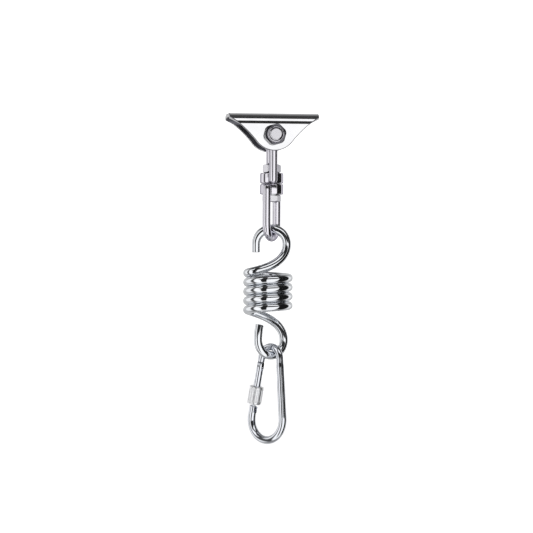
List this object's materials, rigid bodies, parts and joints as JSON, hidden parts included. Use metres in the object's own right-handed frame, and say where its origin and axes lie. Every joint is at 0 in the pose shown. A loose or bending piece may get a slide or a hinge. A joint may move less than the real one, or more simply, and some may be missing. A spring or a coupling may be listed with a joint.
{
  "type": "bag hanger",
  "caption": "Ceiling hanging kit for a punch bag: pivoting U bracket, ball-bearing swivel, extension spring and screw-lock carabiner.",
  "frame": {"origin": "middle of the bracket web's top face, which goes against the ceiling", "axes": "+Z out of the top face into the ceiling, X along the bracket, Y along the pivot bolt with its nut towards -Y"},
  "size_m": [0.072, 0.0543, 0.2641],
  "materials": {
    "polished_steel": "mirror polished stainless steel",
    "plated_steel": "bright plated fasteners",
    "spring_steel": "bright chromed spring wire",
    "carabiner_steel": "bright chromed wire",
    "sleeve_steel": "satin nickel with fine flutes",
    "bearing_steel": "ground steel",
    "bush_bronze": "sintered bronze",
    "nut_nylon": "moulded nylon"
  },
  "bodies": {
    "bracket_body": {"bracket": "polished_steel", "pivot_bolt": "plated_steel", "pivot_nut": "plated_steel", "pivot_nut_insert": "nut_nylon", "pivot_spacer": "bearing_steel"},
    "upper_swivel": {"upper_yoke": "polished_steel", "pivot_bush_front": "bush_bronze", "pivot_bush_rear": "bush_bronze", "swivel_bolt": "plated_steel", "swivel_nut": "plated_steel", "thrust_race_lower": "bearing_steel"},
    "lower_swivel": {"lower_yoke": "polished_steel", "thrust_race_upper": "bearing_steel", "thrust_ball_cage": "bearing_steel"},
    "spring_top": {"spring_upper_hook": "spring_steel", "spring_coil": "spring_steel"},
    "spring_bottom": {"spring_lower_hook": "spring_steel"},
    "carabiner_frame": {"carabiner_body": "carabiner_steel", "gate_pin": "bearing_steel"},
    "gate_assembly": {"gate": "carabiner_steel", "gate_plunger": "bearing_steel", "gate_spring": "bearing_steel"},
    "sleeve": {"lock_sleeve": "sleeve_steel"}
  },
  "joints": [
    {"name": "bracket_pivot", "type": "hinge", "parent": "bracket_body", "child": "upper_swivel", "pos_m": [0, 0, -0.0173], "axis": [0, 1, 0], "range_deg": [-80, 80]},
    {"name": "swivel_turn", "type": "hinge", "parent": "upper_swivel", "child": "lower_swivel", "pos_m": [0, 0, -0.0604], "axis": [0, 0, 1], "continuous": true},
    {"name": "hook_swing", "type": "hinge", "parent": "lower_swivel", "child": "spring_top", "pos_m": [0, 0, -0.0989], "axis": [0.4695, 0.8829, 0], "range_deg": [-60, 60]},
    {"name": "spring_stretch", "type": "slide", "parent": "spring_top", "child": "spring_bottom", "axis": [0, 0, -1], "range_m": [0, 0.02], "stiffness_N_per_m": 130000, "deforming": ["spring_coil"]},
    {"name": "carabiner_swing", "type": "hinge", "parent": "spring_bottom", "child": "carabiner_frame", "pos_m": [0, 0, -0.1932], "axis": [0.891, 0.454, 0], "range_deg": [-50, 50]},
    {"name": "gate_hinge", "type": "hinge", "parent": "carabiner_frame", "child": "gate_assembly", "pos_m": [-0.00737, 0.00819, -0.20175], "axis": [0.7431, 0.6691, 0], "range_deg": [-25, 0], "stiffness_Nm_per_rad": 0.12, "springref_deg": 17.19},
    {"name": "sleeve_screw", "type": "slide", "parent": "gate_assembly", "child": "sleeve", "axis": [-0.1415, 0.1572, -0.9774], "range_m": [0, 0.0065]}
  ]
}
